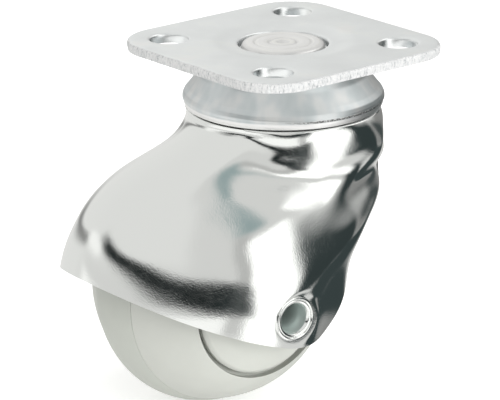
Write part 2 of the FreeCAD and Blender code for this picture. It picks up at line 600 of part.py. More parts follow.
for label, sd in (("hub_cap_left", -1), ("hub_cap_right", 1)):
    disc = turned_body(label, [
        ("dims.hub_rad + 0.05", flank(sd, "wheel_half", -1.85)), ("dims.cap_disc_rad - 0.5", flank(sd, "wheel_half", -1.85)),
        ("dims.cap_disc_rad", flank(sd, "wheel_half", -1.2)), ("dims.cap_disc_rad", flank(sd, "wheel_half", -0.35)),
        ("arc", "dims.cap_disc_rad - 0.2", flank(sd, "wheel_half", 0.13)), ("dims.cap_disc_rad - 0.75", flank(sd, "wheel_half", 0.35)),
        ("arc", 9.0, flank(sd, "cap_disc_out", -0.5)), ("dims.hub_rad + 0.05", flank(sd, "cap_disc_out"))], "XY_Plane")
    hang_on_wheel(disc)
    keep(disc, label)

doc.recompute()

# ---------------------------------------------------------------- checks and export
bad = []
for obj in doc.Objects:
    if "Invalid" in obj.State or "Error" in obj.State:
        bad.append((obj.Name, obj.State))
for obj, label in parts:
    s = obj.Shape
    if s.isNull() or not s.isValid() or not s.Solids:
        bad.append((label, "shape"))
    print(label, "solids", len(s.Solids), "volume", round(s.Volume, 1), "box", [round(v, 2) for v in (
        s.BoundBox.XMin, s.BoundBox.XMax, s.BoundBox.YMin, s.BoundBox.YMax, s.BoundBox.ZMin, s.BoundBox.ZMax)])
if bad:
    raise RuntimeError("failed objects: %s" % bad)

os.makedirs("parts", exist_ok=True)
for obj, label in parts:
    obj.Shape.exportStep("parts/%s.step" % label)
print("exported", len(parts))
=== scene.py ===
import bpy
import math
import numpy as np
from mathutils import Matrix, Vector
from mathutils.geometry import delaunay_2d_cdt


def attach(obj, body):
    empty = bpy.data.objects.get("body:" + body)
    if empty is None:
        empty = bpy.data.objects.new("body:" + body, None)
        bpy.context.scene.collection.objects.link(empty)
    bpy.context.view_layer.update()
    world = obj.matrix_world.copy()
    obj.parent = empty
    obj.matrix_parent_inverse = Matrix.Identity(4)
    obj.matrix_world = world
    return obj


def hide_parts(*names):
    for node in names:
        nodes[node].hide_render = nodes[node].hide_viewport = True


# Looks for the hooded castor. Lengths below are millimetres in the row frame unless said otherwise; meshes are made in metres.
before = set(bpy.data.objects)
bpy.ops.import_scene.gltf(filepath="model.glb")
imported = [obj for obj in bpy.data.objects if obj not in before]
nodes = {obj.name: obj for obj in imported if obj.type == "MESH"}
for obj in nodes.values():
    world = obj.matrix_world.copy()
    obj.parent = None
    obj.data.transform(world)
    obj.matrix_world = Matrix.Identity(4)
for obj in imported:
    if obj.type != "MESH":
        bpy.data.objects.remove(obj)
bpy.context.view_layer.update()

MM = 0.001
SWIVEL = math.radians(-5.06)
TRAIL, DROP = 14.7, 38.7
CS, SN = math.cos(SWIVEL), math.sin(SWIVEL)
FLOOR = -59.7


# ---------------------------------------------------------------- mesh helpers
def to_row(pts):
    """Points of the turned hood's own frame, in the row frame."""
    p = np.asarray(pts, float)
    return np.stack([p[..., 0] * CS - p[..., 1] * SN, p[..., 0] * SN + p[..., 1] * CS, p[..., 2]], -1)


def add_mesh(name, verts, faces, body, stands_for=(), sharp=None, flip=False):
    mesh = bpy.data.meshes.new(name)
    v = np.asarray(verts, float).reshape(-1, 3) * MM
    used = np.zeros(len(v), bool)
    used[[i for q in faces for i in q]] = True
    place = np.cumsum(used) - 1
    v = v[used]
    faces = [tuple(int(place[i]) for i in q) for q in faces]
    f = [tuple(reversed(q)) for q in faces] if flip else faces
    mesh.from_pydata(v.tolist(), [], f)
    mesh.validate()
    mesh.update()
    mesh.polygons.foreach_set("use_smooth", [True] * len(mesh.polygons))
    if sharp is not None:
        mesh.set_sharp_from_angle(angle=math.radians(sharp))
    obj = bpy.data.objects.new(name, mesh)
    bpy.context.scene.collection.objects.link(obj)
    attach(obj, body)
    if stands_for:
        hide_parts(*stands_for)
    return obj


def rounded(pts, seg=5):
    """Outline through (a, b, radius) corners with each corner rounded to its radius."""
    out = []
    n = len(pts)
    for i, p in enumerate(pts):
        a = np.array(pts[i - 1][:2], float)
        b = np.array(p[:2], float)
        c = np.array(pts[(i + 1) % n][:2], float)
        rad = p[2] if len(p) > 2 else 0.0
        if rad <= 0:
            out.append(b)
            continue
        u, w = a - b, c - b
        lu, lw = np.linalg.norm(u), np.linalg.norm(w)
        u, w = u / lu, w / lw
        half = math.acos(max(-1.0, min(1.0, float(u @ w)))) / 2
        if abs(half - math.pi / 2) < 1e-3:
            out.append(b)
            continue
        d = min(rad / math.tan(half), 0.48 * lu, 0.48 * lw)
        r = d * math.tan(half)
        mid = (u + w) / np.linalg.norm(u + w)
        o = b + mid * (r / math.sin(half))
        s, e = b + u * d - o, b + w * d - o
        a0, a1 = math.atan2(s[1], s[0]), math.atan2(e[1], e[0])
        while a1 - a0 > math.pi:
            a1 -= 2 * math.pi
        while a1 - a0 < -math.pi:
            a1 += 2 * math.pi
        for k in range(seg + 1):
            t = a0 + (a1 - a0) * k / seg
            out.append(o + r * np.array([math.cos(t), math.sin(t)]))
    return np.array(out)


def turned(name, outline, body, about="z", count=192, stands_for=(), sharp=40, wobble=None, closed=True):
    """Turns a closed (radius, height) outline about the swivel axis ("z") or the axle ("y")."""
    o = np.asarray(outline, float)
    n = len(o)
    th = np.linspace(0, 2 * math.pi, count, endpoint=False)
    R, H = np.repeat(o[None, :, 0], count, 0), np.repeat(o[None, :, 1], count, 0)
    T = np.repeat(th[:, None], n, 1)
    if wobble is not None:
        R, H = wobble(R, H, T)
    if about == "z":
        V = np.stack([R * np.cos(T), R * np.sin(T), H], -1)
    else:
        local = np.stack([R * np.cos(T) - TRAIL, H, R * np.sin(T) - DROP], -1)
        V = to_row(local)
    faces = []
    for i in range(count):
        j = (i + 1) % count
        for k in range(n if closed else n - 1):
            m = (k + 1) % n
            if o[k][0] < 1e-9 and o[m][0] < 1e-9:
                continue
            if o[k][0] < 1e-9:
                faces.append((k, i * n + m, j * n + m))
            elif o[m][0] < 1e-9:
                faces.append((i * n + k, m, j * n + k))
            else:
                faces.append((i * n + k, i * n + m, j * n + m, j * n + k))
    area = 0.5 * sum(o[k][0] * o[(k + 1) % n][1] - o[(k + 1) % n][0] * o[k][1] for k in range(n))
    flip = (area > 0) == (about == "z")
    return add_mesh(name, V.reshape(-1, 3), faces, body, stands_for, sharp, flip=flip)


def noise_1d(rng, count, waves, amp):
    """Smooth closed random curve."""
    t = np.linspace(0, 2 * math.pi, count, endpoint=False)
    s = np.zeros(count)
    for w in waves:
        s += rng.normal() * np.cos(w * t) + rng.normal() * np.sin(w * t)
    return amp * s / max(1.0, math.sqrt(len(waves)))


# ---------------------------------------------------------------- materials
def material(name):
    m = bpy.data.materials.new(name)
    m.use_nodes = True
    m.node_tree.nodes.clear()
    out = m.node_tree.nodes.new("ShaderNodeOutputMaterial")
    sh = m.node_tree.nodes.new("ShaderNodeBsdfPrincipled")
    m.node_tree.links.new(sh.outputs[0], out.inputs["Surface"])
    return m, m.node_tree, sh


def coords(tree):
    """Object coordinates in millimetres."""
    tc = tree.nodes.new("ShaderNodeTexCoord")
    sc = tree.nodes.new("ShaderNodeVectorMath")
    sc.operation = "SCALE"
    sc.inputs["Scale"].default_value = 1000.0
    tree.links.new(tc.outputs["Object"], sc.inputs[0])
    return sc.outputs[0]


def noise(tree, vec, scale, detail=3.0, rough=0.55, dist=0.0):
    n = tree.nodes.new("ShaderNodeTexNoise")
    n.inputs["Scale"].default_value = scale
    n.inputs["Detail"].default_value = detail
    n.inputs["Roughness"].default_value = rough
    n.inputs["Distortion"].default_value = dist
    tree.links.new(vec, n.inputs["Vector"])
    return n.outputs["Fac"]


def ramp(tree, fac, stops):
    r = tree.nodes.new("ShaderNodeValToRGB")
    els = r.color_ramp.elements
    while len(els) > 1:
        els.remove(els[-1])
    els[0].position = stops[0][0]
    els[0].color = stops[0][1]
    for pos, col in stops[1:]:
        e = els.new(pos)
        e.color = col
    tree.links.new(fac, r.inputs[0])
    return r.outputs[0]


def map_range(tree, fac, a, b, c, d):
    n = tree.nodes.new("ShaderNodeMapRange")
    n.inputs["From Min"].default_value = a
    n.inputs["From Max"].default_value = b
    n.inputs["To Min"].default_value = c
    n.inputs["To Max"].default_value = d
    tree.links.new(fac, n.inputs["Value"])
    return n.outputs["Result"]


def bump(tree, height, strength, distance, normal=None):
    b = tree.nodes.new("ShaderNodeBump")
    b.inputs["Strength"].default_value = strength
    b.inputs["Distance"].default_value = distance
    tree.links.new(height, b.inputs["Height"])
    if normal is not None:
        tree.links.new(normal, b.inputs["Normal"])
    return b.outputs["Normal"]


def grey(v, tint=(1.0, 1.0, 1.0)):
    return (v * tint[0], v * tint[1], v * tint[2], 1.0)


def chrome_material():
    """Bright plating over a fine orange-peel grain, so that reflections have soft, slightly crumbly edges."""
    m, t, sh = material("chrome")
    c = coords(t)
    sh.inputs["Metallic"].default_value = 1.0
    sh.inputs["Base Color"].default_value = (0.9, 0.915, 0.905, 1.0)
    grain = noise(t, c, 4.0, 1.5, 0.6)
    peel = noise(t, c, 1.1, 3.0, 0.55)
    broad = noise(t, c, 0.35, 2.0, 0.5)
    n1 = bump(t, grain, 1.0, 8.5e-6)
    n2 = bump(t, peel, 1.0, 4.0e-6, n1)
    n3 = bump(t, broad, 1.0, 0.8e-5, n2)
    t.links.new(n3, sh.inputs["Normal"])
    t.links.new(map_range(t, noise(t, c, 1.3, 4.0, 0.6), 0.35, 0.7, 0.085, 0.12), sh.inputs["Roughness"])
    return m


def zinc_material(name, rough_lo, rough_hi, tint, peel_amp, speck=False):
    m, t, sh = material(name)
    c = coords(t)
    sh.inputs["Metallic"].default_value = 1.0
    mottled = noise(t, c, 0.35, 4.0, 0.6, 0.4)
    fine = noise(t, c, 5.0, 3.0, 0.6)
    t.links.new(ramp(t, mottled, [(0.3, grey(0.74, tint)), (0.7, grey(0.82, tint))]), sh.inputs["Base Color"])
    t.links.new(map_range(t, fine, 0.3, 0.7, rough_lo, rough_hi), sh.inputs["Roughness"])
    t.links.new(bump(t, fine, 1.0, peel_amp), sh.inputs["Normal"])
    return m


CHROME = chrome_material()
ZINC_TOP = zinc_material("zinc_top", 0.3, 0.42, (0.985, 1.0, 1.02), 3e-6)
ZINC_PIN = zinc_material("zinc_pin", 0.26, 0.36, (1.12, 1.13, 1.1), 2e-6)
STEEL = zinc_material("plain_steel", 0.15, 0.25, (0.98, 1.0, 1.0), 1e-6)


def plastic_material(name, colour, rough, grain):
    m, t, sh = material(name)
    c = coords(t)
    a = tuple(0.965 * v for v in colour[:3]) + (1.0,)
    t.links.new(ramp(t, noise(t, c, 0.25, 3.0, 0.5), [(0.3, a), (0.7, colour)]), sh.inputs["Base Color"])
    t.links.new(map_range(t, noise(t, c, 1.0, 3.0, 0.5), 0.3, 0.7, rough - 0.04, rough + 0.04), sh.inputs["Roughness"])
    t.links.new(bump(t, noise(t, c, 3.5, 3.0, 0.55), 1.0, grain), sh.inputs["Normal"])
    return m


PLASTIC = plastic_material("wheel_plastic", (0.515, 0.527, 0.49, 1.0), 0.42, 3e-6)
RUBBER = plastic_material("wheel_band", (0.47, 0.487, 0.447, 1.0), 0.5, 5e-6)

# ---------------------------------------------------------------- top plate
H, RC, THICK = 20.9, 8.3, 1.7


def square_loop(inset, count=36):
    """Rounded square, inset from the plate's edge, as points with a fixed parametrisation."""
    h, r = H - inset, max(RC - inset, 0.3)
    k = h - r
    pts = []
    for i, (cx, cy) in enumerate([(k, k), (-k, k), (-k, -k), (k, -k)]):
        a0 = math.radians(90 * i)
        for j in range(count + 1):
            a = a0 + math.radians(90) * j / count
            pts.append((cx + r * math.cos(a), cy + r * math.sin(a)))
        # straight run to the next corner
        nx, ny = [(-k, k), (-k, -k), (k, -k), (k, k)][i]
        a1 = a0 + math.radians(90)
        s = np.array([cx + r * math.cos(a1), cy + r * math.sin(a1)])
        e = np.array([nx + r * math.cos(a1), ny + r * math.sin(a1)])
        for j in range(1, 24):
            pts.append(tuple(s + (e - s) * j / 24))
    return np.array(pts)


def circle_loop(cx, cy, r, count=96):
    a = np.linspace(0, 2 * math.pi, count, endpoint=False)
    return np.stack([cx + r * np.cos(a), cy + r * np.sin(a)], -1)


def plate_mesh():
    verts, faces = [], []
    rng = np.random.default_rng(5)

    def sweep(loops):
        """Quads between successive closed loops of the same length."""
        base = len(verts)
        n = len(loops[0])
        for L in loops:
            verts.extend(L.tolist())
        for k in range(len(loops) - 1):
            for i in range(n):
                j = (i + 1) % n
                faces.append((base + k * n + i, base + k * n + j, base + (k + 1) * n + j, base + (k + 1) * n + i))
        return base, n

    # outer edge: rolled-over top corner, burnished strip, break line, rough lower strip, small burr
    nb = len(square_loop(0))
    rough = noise_1d(rng, nb, list(range(20, 160, 3)), 0.03)
    line = noise_1d(rng, nb, list(range(2, 40)), 0.05)
    prof = [(0.85, 0.0), (0.62, -0.012), (0.42, -0.06), (0.24, -0.15), (0.1, -0.29), (0.03, -0.45), (0.0, -0.65), (0.0, -0.95), (0.02, -1.15),
            (0.07, -1.3), (0.09, -1.5), (0.1, -1.62), (0.22, -1.7), (1.2, -1.7)]
    loops = []
    for inset, z in prof:
        L = square_loop(inset)
        zz = np.full(len(L), z)
        if -1.25 < z < -0.8:
            zz = zz + line
        if z < -1.1 and inset < 0.5:
            nrm = L / np.maximum(np.linalg.norm(L, axis=1, keepdims=True), 1e-9)
            L = L - nrm * np.abs(rough)[:, None]
        loops.append(np.c_[L, zz])
    ob, on = sweep(loops)
    rims_top = [loops[0][:, :2]]
    rims_bot = [loops[-1][:, :2]]
    # fixing holes with rolled rims
    for sx in (-1, 1):
        for sy in (-1, 1):
            cx, cy = 13.5 * sx, 13.5 * sy
            hl = []
            for dr, z in [(0.62, 0.0), (0.42, -0.02), (0.24, -0.09), (0.1, -0.2), (0.03, -0.33), (0.0, -0.5), (0.0, -1.2), (0.06, -1.45), (0.1, -1.7), (0.5, -1.7)]:
                c = circle_loop(cx, cy, 3.2 + dr)
                hl.append(np.c_[c, np.full(len(c), z)])
            sweep([L[::-1] for L in hl])
            rims_top.append(hl[0][:, :2])
            rims_bot.append(hl[-1][:, :2])
    # dished middle with the recess, its floor and the pin hole
    mid = []
    for r, z in [(12.6, 0.0), (12.0, -0.01), (11.4, -0.05), (10.8, -0.13), (10.2, -0.21), (9.6, -0.27), (9.0, -0.31), (8.4, -0.335), (8.0, -0.35), (7.8, -0.38),
                 (7.64, -0.47), (7.57, -0.62), (7.55, -0.8), (7.55, -1.55), (7.45, -1.72), (7.2, -1.8), (6.0, -1.8), (4.05, -1.8), (4.05, -3.2), (8.5, -3.2),
                 (8.85, -3.05), (9.0, -2.7), (9.0, -1.9), (9.1, -1.75), (9.4, -1.7)]:
        c = circle_loop(0, 0, r, 144)
        mid.append(np.c_[c, np.full(len(c), z)])
    sweep([L[::-1] for L in mid])
    rims_top.append(mid[0][:, :2])
    rims_bot.append(mid[-1][:, :2])
    # flat faces between the rims
    for rims, z, up in ((rims_top, 0.0, True), (rims_bot, -1.7, False)):
        pts, edges = [], []
        for loop in rims:
            s = len(pts)
            pts += [Vector(p) for p in loop.tolist()]
            edges += [(s + i, s + (i + 1) % len(loop)) for i in range(len(loop))]
        rv, _, rf, _, _, _ = delaunay_2d_cdt(pts, edges, [], 0, 1e-6)
        base = len(verts)
        holes = [(13.5 * sx, 13.5 * sy, 3.2 + (0.62 if up else 0.5)) for sx in (-1, 1) for sy in (-1, 1)] + [(0, 0, 12.6 if up else 9.4)]
        verts.extend([[v.x, v.y, z] for v in rv])
        for f in rf:
            c = sum((rv[i] for i in f), Vector((0, 0))) / len(f)
            if any((c.x - hx) ** 2 + (c.y - hy) ** 2 < (hr - 1e-4) ** 2 for hx, hy, hr in holes):
                continue
            # outside the rounded corners of the outline
            ins = 0.85 if up else 1.2
            hh, rr = H - ins, RC - ins
            ax, ay = abs(c.x) - (hh - rr), abs(c.y) - (hh - rr)
            if ax > 0 and ay > 0 and ax * ax + ay * ay > rr * rr:
                continue
            a, b, d = (rv[f[0]], rv[f[1]], rv[f[2]])
            ccw = (b.x - a.x) * (d.y - a.y) - (b.y - a.y) * (d.x - a.x) > 0
            g = tuple(base + i for i in f)
            faces.append(g if ccw == up else tuple(reversed(g)))
    return verts, faces


pv, pf = plate_mesh()
plate = add_mesh("plate_skin", pv, pf, "base", ("top_plate",), sharp=50)
# join the loops that meet
bpy.context.view_layer.objects.active = plate
import bmesh
bm = bmesh.new()
bm.from_mesh(plate.data)
bmesh.ops.remove_doubles(bm, verts=bm.verts, dist=2e-6)
bmesh.ops.recalc_face_normals(bm, faces=bm.faces)
bm.to_mesh(plate.data)
bm.free()
plate.data.polygons.foreach_set("use_smooth", [True] * len(plate.data.polygons))
plate.data.set_sharp_from_angle(angle=math.radians(50))


def plate_material():
    """Bright zinc on rolled sheet: a cloudy satin top and a sheared edge whose torn face scatters the light in specks."""
    m, t, sh = material("zinc_plate_skin")
    c = coords(t)
    sep = t.nodes.new("ShaderNodeSeparateXYZ")
    t.links.new(c, sep.inputs[0])
    z = sep.outputs["Z"]
    fine = noise(t, c, 5.0, 3.0, 0.6)
    mottled = noise(t, c, 0.12, 3.0, 0.5, 0.4)
    # the sheared face is drawn out downwards, so its specks are taller than wide
    drawn = t.nodes.new("ShaderNodeVectorMath")
    drawn.operation = "MULTIPLY"
    drawn.inputs[1].default_value = (1.0, 1.0, 0.35)
    t.links.new(c, drawn.inputs[0])
    specks = noise(t, drawn.outputs[0], 3.0, 5.0, 0.75)
    broad = noise(t, c, 0.35, 3.0, 0.6)
    # the sheared face lies outside the flat top: below the rolled corner, and not in the holes
    side = t.nodes.new("ShaderNodeMath")
    side.operation = "MAXIMUM"
    ab = []
    for axis in ("X", "Y"):
        n = t.nodes.new("ShaderNodeMath")
        n.operation = "ABSOLUTE"
        t.links.new(sep.outputs[axis], n.inputs[0])
        ab.append(n.outputs[0])
    t.links.new(ab[0], side.inputs[0])
    t.links.new(ab[1], side.inputs[1])
    at_edge = map_range(t, side.outputs[0], 18.4, 18.6, 0.0, 1.0)
    low = t.nodes.new("ShaderNodeMath")
    low.operation = "MULTIPLY"
    start = t.nodes.new("ShaderNodeMath")
    start.operation = "MULTIPLY_ADD"
    t.links.new(broad, start.inputs[0])
    start.inputs[1].default_value = 0.3
    t.links.new(z, start.inputs[2])
    t.links.new(map_range(t, start.outputs[0], -0.06, 0.08, 1.0, 0.0), low.inputs[0])
    t.links.new(at_edge, low.inputs[1])
    tint = (0.975, 1.0, 1.01)
    top = ramp(t, mottled, [(0.3, grey(0.94, tint)), (0.7, grey(1.02, tint))])
    edge = ramp(t, specks, [(0.34, grey(0.38, (0.96, 1.0, 1.02))), (0.44, grey(0.62, (0.985, 1.0, 1.01))), (0.56, grey(0.73))])
    mix = t.nodes.new("ShaderNodeMix")
    mix.data_type = "RGBA"
    t.links.new(low.outputs[0], mix.inputs["Factor"])
    t.links.new(top, mix.inputs["A"])
    t.links.new(edge, mix.inputs["B"])
    t.links.new(mix.outputs["Result"], sh.inputs["Base Color"])
    t.links.new(map_range(t, low.outputs[0], 0.0, 1.0, 1.0, 0.15), sh.inputs["Metallic"])
    r1 = map_range(t, fine, 0.3, 0.7, 0.3, 0.4)
    add = t.nodes.new("ShaderNodeMath")
    add.operation = "MULTIPLY_ADD"
    t.links.new(low.outputs[0], add.inputs[0])
    add.inputs[1].default_value = 0.12
    t.links.new(r1, add.inputs[2])
    t.links.new(add.outputs[0], sh.inputs["Roughness"])
    mul = t.nodes.new("ShaderNodeMath")
    mul.operation = "MULTIPLY"
    t.links.new(low.outputs[0], mul.inputs[0])
    t.links.new(specks, mul.inputs[1])
    n1 = bump(t, fine, 1.0, 2e-6)
    n2 = bump(t, mul.outputs[0], 1.0, 1.5e-4, n1)
    t.links.new(n2, sh.inputs["Normal"])
    return m


plate.data.materials.append(plate_material())
# the plate keeps its shadow and its look, and leaves the mirrors below it to the studio
plate.visible_glossy = False

# ---------------------------------------------------------------- race ring
def ring_material():
    """Pressed zinc-plated sheet: faint bands round the wall, bright grains, and a torn, dark-specked line along the sheared edge."""
    m, t, sh = material("zinc_ring")
    c = coords(t)
    sh.inputs["Metallic"].default_value = 1.0
    sep = t.nodes.new("ShaderNodeSeparateXYZ")
    t.links.new(c, sep.inputs[0])
    across = t.nodes.new("ShaderNodeCombineXYZ")
    t.links.new(sep.outputs["X"], across.inputs["X"])
    t.links.new(sep.outputs["Y"], across.inputs["Y"])
    bands = noise(t, across.outputs[0], 0.22, 2.0, 0.6)
    fine = noise(t, c, 4.0, 3.0, 0.65)
    specks = noise(t, c, 2.6, 4.0, 0.8)
    wall = ramp(t, bands, [(0.36, grey(0.72, (0.93, 1.0, 1.02))), (0.5, grey(0.78, (0.95, 1.0, 1.02))), (0.64, grey(0.86, (0.985, 1.0, 1.0)))])
    torn = ramp(t, specks, [(0.44, grey(0.12)), (0.52, grey(0.55)), (0.58, grey(0.95))])
    z = sep.outputs["Z"]
    on_line = t.nodes.new("ShaderNodeMath")
    on_line.operation = "MULTIPLY"
    t.links.new(map_range(t, z, -9.72, -9.6, 0.0, 1.0), on_line.inputs[0])
    # the tear runs along one part of the round only
    ahead = t.nodes.new("ShaderNodeVectorMath")
    ahead.operation = "DOT_PRODUCT"
    ahead.inputs[1].default_value = (math.cos(math.radians(-72)), math.sin(math.radians(-72)), 0.0)
    t.links.new(across.outputs[0], ahead.inputs[0])
    part = t.nodes.new("ShaderNodeMath")
    part.operation = "MULTIPLY"
    t.links.new(map_range(t, z, -9.36, -9.2, 1.0, 0.0), part.inputs[0])
    t.links.new(map_range(t, ahead.outputs["Value"], 9.0, 12.5, 0.0, 1.0), part.inputs[1])
    t.links.new(part.outputs[0], on_line.inputs[1])
    mix = t.nodes.new("ShaderNodeMix")
    mix.data_type = "RGBA"
    t.links.new(on_line.outputs[0], mix.inputs["Factor"])
    t.links.new(wall, mix.inputs["A"])
    t.links.new(torn, mix.inputs["B"])
    # painted highlight: the turned-in edge below the line is given the lightest colour, standing in for the light it
    # catches
    lip = t.nodes.new("ShaderNodeMix")
    lip.data_type = "RGBA"
    t.links.new(map_range(t, z, -9.8, -9.66, 1.0, 0.0), lip.inputs["Factor"])
    t.links.new(mix.outputs["Result"], lip.inputs["A"])
    t.links.new(ramp(t, bands, [(0.4, grey(0.97)), (0.6, grey(1.0))]), lip.inputs["B"])
    t.links.new(lip.outputs["Result"], sh.inputs["Base Color"])
    t.links.new(map_range(t, fine, 0.3, 0.7, 0.36, 0.48), sh.inputs["Roughness"])
    mul = t.nodes.new("ShaderNodeMath")
    mul.operation = "MULTIPLY"
    t.links.new(on_line.outputs[0], mul.inputs[0])
    t.links.new(specks, mul.inputs[1])
    n1 = bump(t, fine, 1.0, 3.5e-6)
    n2 = bump(t, mul.outputs[0], 1.0, 1.2e-4, n1)
    t.links.new(n2, sh.inputs["Normal"])
    return m


ring_line = rounded([
    (9.05, -1.7), (13.2, -1.7, 0.6), (13.3, -3.2, 2.5), (14.2, -5.2, 3.0), (15.03, -6.36, 3.0), (15.95, -7.6, 3.0), (16.6, -8.35, 1.0), (16.86, -9.0, 0.8), (16.87, -9.42, 0.05),
    (16.72, -9.5, 0.05), (16.66, -10.1, 0.6), (16.45, -10.62, 0.25), (16.2, -10.76, 0.1), (15.5, -10.76, 0.25), (15.3, -10.3, 0.3), (15.45, -9.4, 0.8), (15.1, -8.5, 0.8),
    (14.0, -7.0, 1.0), (13.2, -5.6, 1.0), (12.9, -3.2, 0.3), (9.05, -3.2)], 8)
ring = turned("ring_skin", ring_line, "base", "z", 256, ("race_ring",), sharp=60)
ring.data.materials.append(ring_material())

# ---------------------------------------------------------------- kingpin, its head rolled flat in rings
pin_line = rounded([
    (0.0, -0.32), (0.95, -0.32), (1.25, -0.18, 0.3), (1.9, -0.18, 0.4), (2.3, -0.4, 0.4), (2.7, -0.18, 0.4), (3.3, -0.12, 0.5), (4.3, -0.13, 0.4), (4.75, -0.28, 0.3), (5.15, -0.14, 0.3), (6.0, -0.17, 0.4),
    (6.75, -0.42, 0.6), (7.02, -0.95, 0.3), (7.02, -1.7, 0.2), (4.0, -1.78), (4.0, -13.7), (6.2, -13.7), (6.2, -14.3, 0.4), (5.3, -15.2, 0.8), (3.6, -15.5, 1.0), (0.0, -15.5)], 4)
pin = turned("kingpin_skin", pin_line, "base", "z", 160, ("kingpin",), sharp=60)


def pin_painted_shade_material():
    """Satin zinc, with painted shade and light: a darker colour in the rolled grooves of the head and a lighter one on
    its raised rings.
    """
    m, t, sh = material("zinc_pin_head_painted_shade")
    c = coords(t)
    sh.inputs["Metallic"].default_value = 1.0
    sep = t.nodes.new("ShaderNodeSeparateXYZ")
    t.links.new(c, sep.inputs[0])
    fine = noise(t, c, 4.0, 3.0, 0.6)
    level = t.nodes.new("ShaderNodeMath")
    level.operation = "MULTIPLY_ADD"
    t.links.new(noise(t, c, 0.8, 3.0, 0.6), level.inputs[0])
    level.inputs[1].default_value = 0.1
    t.links.new(sep.outputs["Z"], level.inputs[2])
    # painted shade and highlight: the colour darkens with the depth of the grooves and lightens on the raised rings
    t.links.new(ramp(t, map_range(t, level.outputs[0], -0.35, -0.06, 0.0, 1.0), [
        (0.0, grey(0.86)), (0.45, grey(0.93)), (0.75, grey(1.0, (1.0, 1.0, 0.98))), (1.0, grey(1.06, (1.0, 1.0, 0.98)))]), sh.inputs["Base Color"])
    t.links.new(map_range(t, fine, 0.3, 0.7, 0.3, 0.42), sh.inputs["Roughness"])
    t.links.new(bump(t, fine, 1.0, 3e-6), sh.inputs["Normal"])
    return m


pin.data.materials.append(pin_painted_shade_material())


# ---------------------------------------------------------------- hood
# Free-form outer surface: radii from a leaning centre line, in hundredths of a millimetre, as the control net of a
# smooth surface; one row per height from the neck down, one column per bearing.
HEIGHTS = [-11.2, -13, -15, -17, -18.8, -20.4, -22, -24, -26.5, -30, -34, -38.5, -43.5, -50]
BEARINGS = [-235.0 + 12.0 * k for k in range(23)]
NET = [
    (1638, 1638, 1640, 1644, 1632, 1632, 1634, 1628, 1642, 1658, 1668, 1662, 1642, 1630, 1636, 1642, 1630, 1620, 1618, 1616, 1616, 1616, 1616, 1618, 1618),
    (1672, 1646, 1630, 1626, 1614, 1612, 1618, 1600, 1620, 1650, 1684, 1662, 1640, 1614, 1674, 1680, 1666, 1642, 1634, 1634, 1634, 1634, 1634, 1636, 1636),
    (1706, 1644, 1608, 1602, 1618, 1662, 1698, 1704, 1724, 1626, 1644, 1646, 1630, 1642, 1688, 1736, 1738, 1676, 1672, 1674, 1674, 1674, 1674, 1674, 1676),
    (1720, 1634, 1594, 1626, 1738, 1902, 1978, 1932, 1856, 1666, 1628, 1620, 1616, 1660, 1682, 1798, 1864, 1730, 1744, 1758, 1758, 1758, 1758, 1758, 1762),
    (1700, 1644, 1654, 1780, 2024, 2290, 2378, 2244, 2030, 1708, 1548, 1566, 1572, 1620, 1684, 1754, 1954, 1844, 1868, 1866, 1866, 1870, 1874, 1872, 1872),
    (1776, 1818, 1902, 2064, 2332, 2604, 2664, 2448, 2162, 1926, 1686, 1542, 1538, 1558, 1584, 1766, 1882, 1920, 1998, 1954, 1962, 1982, 1988, 1982, 1980),
    (1942, 2032, 2140, 2288, 2536, 2780, 2810, 2566, 2250, 2072, 1964, 1862, 1738, 1730, 1744, 1788, 1794, 1886, 1944, 2006, 2078, 2116, 2114, 2098, 2086),
    (2094, 2174, 2266, 2406, 2656, 2884, 2886, 2660, 2408, 2198, 2102, 2058, 1944, 1876, 1890, 1848, 1866, 1992, 2054, 2134, 2246, 2294, 2274, 2236, 2212),
    (2208, 2262, 2340, 2490, 2714, 2960, 2946, 2746, 2552, 2356, 2256, 2190, 2080, 1992, 2016, 2010, 2068, 2226, 2274, 2350, 2436, 2470, 2432, 2376, 2338),
    (2298, 2336, 2410, 2550, 2752, 3004, 3006, 2868, 2686, 2500, 2398, 2278, 2200, 2124, 2134, 2242, 2292, 2274, 2334, 2450, 2526, 2542, 2494, 2434, 2394),
    (2370, 2398, 2468, 2608, 2794, 2978, 3004, 2854, 2686, 2548, 2436, 2394, 2312, 2244, 2234, 2340, 2296, 2198, 2246, 2338, 2396, 2406, 2374, 2338, 2316),
    (2406, 2430, 2496, 2626, 2774, 2922, 2962, 2816, 2668, 2528, 2418, 2370, 2320, 2330, 2310, 2186, 2218, 2164, 2144, 2170, 2190, 2198, 2196, 2194, 2194),
    (2414, 2440, 2502, 2616, 2754, 2920, 2962, 2830, 2688, 2542, 2450, 2370, 2344, 2304, 2176, 2014, 2144, 2162, 2126, 2116, 2116, 2120, 2126, 2132, 2140),
    (2400, 2424, 2480, 2592, 2738, 2910, 2944, 2790, 2606, 2424, 2312, 2254, 2250, 2222, 2216, 2058, 2142, 2184, 2132, 2094, 2078, 2076, 2082, 2092, 2100),
    (2376, 2398, 2452, 2564, 2718, 2890, 2910, 2738, 2540, 2360, 2234, 2170, 2132, 2086, 2198, 2192, 2184, 2172, 2114, 2058, 2024, 2016, 2024, 2038, 2048),
    (2354, 2374, 2430, 2548, 2706, 2874, 2882, 2694, 2492, 2320, 2184, 2098, 2034, 2008, 2136, 2238, 2224, 2164, 2092, 2026, 1982, 1964, 1972, 1992, 2006),
]
CENTRE = [(-11, 0.0), (-12, 0.0), (-18, -3.0), (-26, -9.0), (-36, -13.0), (-50, -14.7)]
# the flange of the axle: where it sits on the cheeks, and how far it was peened off the axle's line
SEAT, SHIFT = 22.36, (0.72, -0.72)
RIM = dict(low=44.65, slope=0.2996, rear=0.005, front=0.035)


